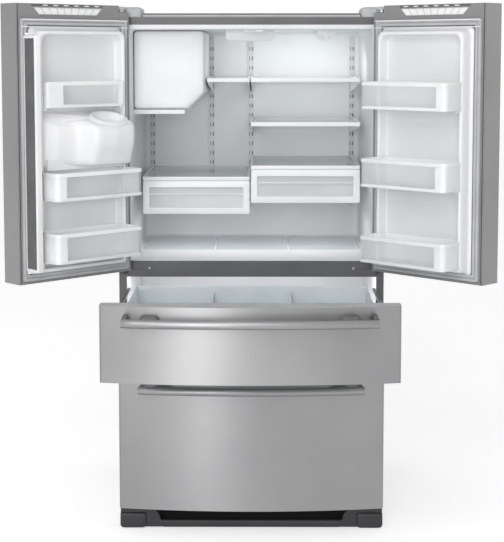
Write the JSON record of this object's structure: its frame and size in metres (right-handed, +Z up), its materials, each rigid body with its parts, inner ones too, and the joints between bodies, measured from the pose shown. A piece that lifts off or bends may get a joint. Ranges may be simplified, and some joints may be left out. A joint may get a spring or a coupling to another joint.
{
  "type": "bottom freezer refrigerator",
  "caption": "French-door bottom freezer refrigerator with a pull-out refrigerated drawer over a freezer drawer, hinged doors with bins, folding flap, glass shelves and ice maker",
  "frame": {"origin": "on the floor, in the middle of the cabinet's width, below the front flange", "axes": "+X to the right seen from the front, +Y to the back, +Z up"},
  "size_m": [1.5998, 1.4574, 1.784],
  "materials": {
    "stainless": "brushed, satin",
    "cabinet_paint": "textured grey paint",
    "frame_paint": "smooth grey paint",
    "foam": "matte",
    "liner_white": "satin",
    "shelf_white": "satin",
    "pane": "clear, polished",
    "ladder": "satin",
    "grey_plastic": "fine texture",
    "black_plastic": "fine texture",
    "seal": "matte",
    "zinc": "zinc plated, satin",
    "roller_plastic": "matte",
    "bin_clear": "clear and white, polished",
    "compressor_paint": "gloss black paint",
    "coil_paint": "matte black paint",
    "valve_plastic": "matte",
    "dispenser_black": "gloss"
  },
  "bodies": {
    "cabinet": {"cabinet_shell": "cabinet_paint", "insulation": "foam", "front_frame": "frame_paint", "fridge_liner": "liner_white", "pantry_liner": "liner_white", "freezer_liner": "liner_white", "shelf_ladders": "ladder", "shelf_frames": "shelf_white", "shelf_glass": "pane", "ice_housing": "shelf_white", "control_housing": "shelf_white", "upper_hinges": "zinc", "hinge_covers": "grey_plastic", "lower_hinges": "zinc", "toe_grille": "black_plastic", "levelling_feet": "zinc", "rear_panels": "zinc", "compressor": "compressor_paint", "condenser": "coil_paint", "water_valve": "valve_plastic", "cabinet_rails": "zinc", "base_frame": "zinc"},
    "fan": {"fan_blade": "grey_plastic"},
    "rollers": {"rear_rollers": "roller_plastic"},
    "water_filter": {"filter_cap": "shelf_white"},
    "ice_bucket": {"ice_bin": "shelf_white"},
    "deli_left": {"deli_drawer_left": "bin_clear"},
    "deli_right": {"deli_drawer_right": "bin_clear"},
    "left_door": {"left_door_skin": "stainless", "left_door_liner": "liner_white", "left_door_frame": "grey_plastic", "left_door_gasket": "seal", "left_door_handle": "stainless", "dispenser_niche": "dispenser_black", "ice_chute": "shelf_white"},
    "paddle": {"dispenser_paddle": "dispenser_black"},
    "flap": {"mullion": "shelf_white"},
    "left_upper_bin": {"left_bin_upper": "bin_clear"},
    "left_middle_bin": {"left_bin_middle": "bin_clear"},
    "left_lower_bin": {"left_bin_lower": "bin_clear"},
    "right_door": {"right_door_skin": "stainless", "right_door_liner": "liner_white", "right_door_frame": "grey_plastic", "right_door_gasket": "seal", "right_door_handle": "stainless"},
    "right_upper_bin": {"right_bin_upper": "bin_clear"},
    "right_middle_bin": {"right_bin_middle": "bin_clear"},
    "right_lower_bin": {"right_bin_lower": "bin_clear"},
    "pantry_drawer": {"pantry_front": "stainless", "pantry_gasket": "seal", "pantry_handle": "stainless", "pantry_bin": "shelf_white", "pantry_carriage": "zinc"},
    "pantry_slide_middle": {"pantry_mid_rails": "zinc"},
    "freezer_drawer": {"freezer_front": "stainless", "freezer_gasket": "seal", "freezer_handle": "stainless", "freezer_bin": "shelf_white", "freezer_carriage": "zinc"},
    "freezer_slide_middle": {"freezer_mid_rails": "zinc"}
  },
  "joints": [
    {"name": "left_door_swing", "type": "hinge", "parent": "cabinet", "child": "left_door", "pos_m": [-0.436, -0.035, 1.764], "axis": [0, 0, -1], "range_deg": [-136, 0]},
    {"name": "right_door_swing", "type": "hinge", "parent": "cabinet", "child": "right_door", "pos_m": [0.436, -0.035, 1.764], "axis": [0, 0, 1], "range_deg": [-136, 0]},
    {"name": "flap_fold", "type": "hinge", "parent": "left_door", "child": "flap", "pos_m": [-0.699, -0.35431, 1.686], "axis": [0, 0, 1], "range_deg": [-90, 0]},
    {"name": "pantry_slide", "type": "slide", "parent": "cabinet", "child": "pantry_drawer", "axis": [0, -1, 0], "range_m": [-0.567, 0]},
    {"name": "pantry_middle_slide", "type": "slide", "parent": "cabinet", "child": "pantry_slide_middle", "axis": [0, -1, 0], "range_m": [-0.2835, 0]},
    {"name": "freezer_slide", "type": "slide", "parent": "cabinet", "child": "freezer_drawer", "axis": [0, -1, 0], "range_m": [0, 0.5]},
    {"name": "freezer_middle_slide", "type": "slide", "parent": "cabinet", "child": "freezer_slide_middle", "axis": [0, -1, 0], "range_m": [0, 0.25]},
    {"name": "deli_left_slide", "type": "slide", "parent": "cabinet", "child": "deli_left", "axis": [0, -1, 0], "range_m": [0, 0.25]},
    {"name": "deli_right_slide", "type": "slide", "parent": "cabinet", "child": "deli_right", "axis": [0, -1, 0], "range_m": [0, 0.25]},
    {"name": "ice_bucket_slide", "type": "slide", "parent": "cabinet", "child": "ice_bucket", "axis": [0, -1, 0], "range_m": [0, 0.25]},
    {"name": "filter_pull", "type": "slide", "parent": "cabinet", "child": "water_filter", "axis": [0, -1, 0], "range_m": [0, 0.06]},
    {"name": "left_upper_bin_lift", "type": "slide", "parent": "left_door", "child": "left_upper_bin", "axis": [0, 0, 1], "range_m": [0, 0.015]},
    {"name": "left_middle_bin_lift", "type": "slide", "parent": "left_door", "child": "left_middle_bin", "axis": [0, 0, 1], "range_m": [0, 0.015]},
    {"name": "left_lower_bin_lift", "type": "slide", "parent": "left_door", "child": "left_lower_bin", "axis": [0, 0, 1], "range_m": [0, 0.015]},
    {"name": "right_upper_bin_lift", "type": "slide", "parent": "right_door", "child": "right_upper_bin", "axis": [0, 0, 1], "range_m": [0, 0.015]},
    {"name": "right_middle_bin_lift", "type": "slide", "parent": "right_door", "child": "right_middle_bin", "axis": [0, 0, 1], "range_m": [0, 0.015]},
    {"name": "right_lower_bin_lift", "type": "slide", "parent": "right_door", "child": "right_lower_bin", "axis": [0, 0, 1], "range_m": [0, 0.015]},
    {"name": "paddle_press", "type": "hinge", "parent": "left_door", "child": "paddle", "pos_m": [-0.57569, -0.15738, 1.33], "axis": [-0.7193, -0.6947, 0], "range_deg": [0, 7], "stiffness_Nm_per_rad": 0.6},
    {"name": "fan_spin", "type": "hinge", "parent": "cabinet", "child": "fan", "pos_m": [-0.09, 0.595, 0.182], "axis": [1, 0, 0], "continuous": true},
    {"name": "roller_spin", "type": "hinge", "parent": "cabinet", "child": "rollers", "pos_m": [0.4075, 0.668, 0.022], "axis": [1, 0, 0], "continuous": true}
  ],
  "couplings": [
    {"joint": "pantry_middle_slide", "follows": "pantry_slide", "ratio": 0.5},
    {"joint": "freezer_middle_slide", "follows": "freezer_slide", "ratio": 0.5}
  ]
}
